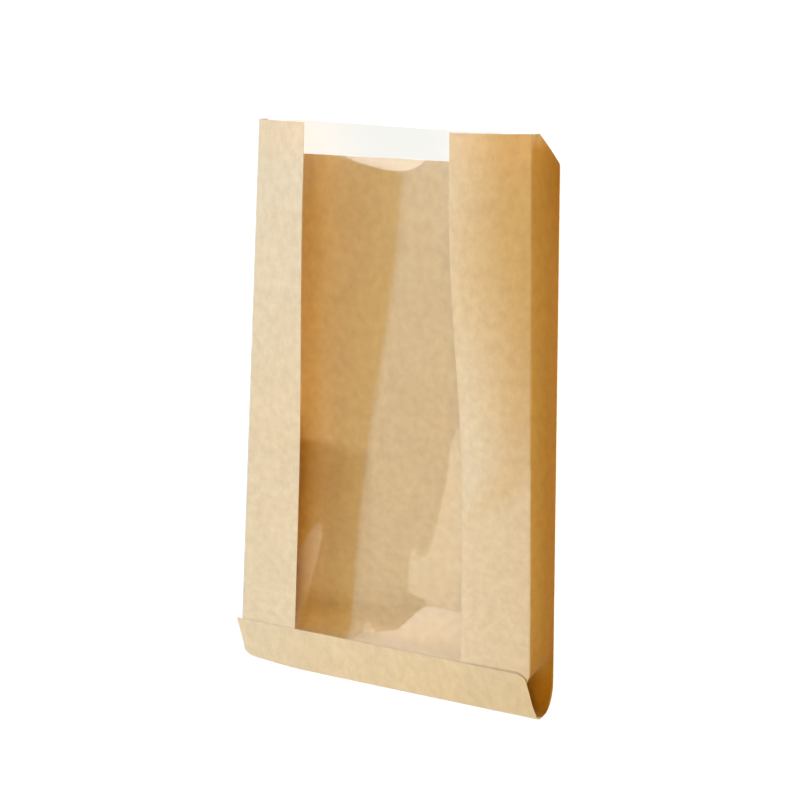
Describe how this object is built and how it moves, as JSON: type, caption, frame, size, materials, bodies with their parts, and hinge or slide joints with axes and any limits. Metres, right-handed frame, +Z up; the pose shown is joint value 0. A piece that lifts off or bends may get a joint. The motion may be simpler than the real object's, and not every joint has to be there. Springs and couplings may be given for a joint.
{
  "type": "paper bread bag",
  "caption": "Empty kraft paper bread bag with a full-length clear film window, folded-in sides and a turned-up glued bottom, open at the mouth and lying on its back.",
  "frame": {"origin": "on the surface that the bag lies on, under the middle of its box", "axes": "+X across the bag towards the side that stands more open, +Y from the folded bottom to the open mouth, +Z up, out of the front with the window"},
  "size_m": [0.233, 0.359, 0.0501],
  "materials": {
    "kraft_paper": "matt, lightly mottled brown kraft paper",
    "clear_film": "clear glossy film, lightly wrinkled"
  },
  "bodies": {
    "root": {"kraft_paper": "kraft_paper", "window_film": "clear_film"}
  },
  "joints": []
}
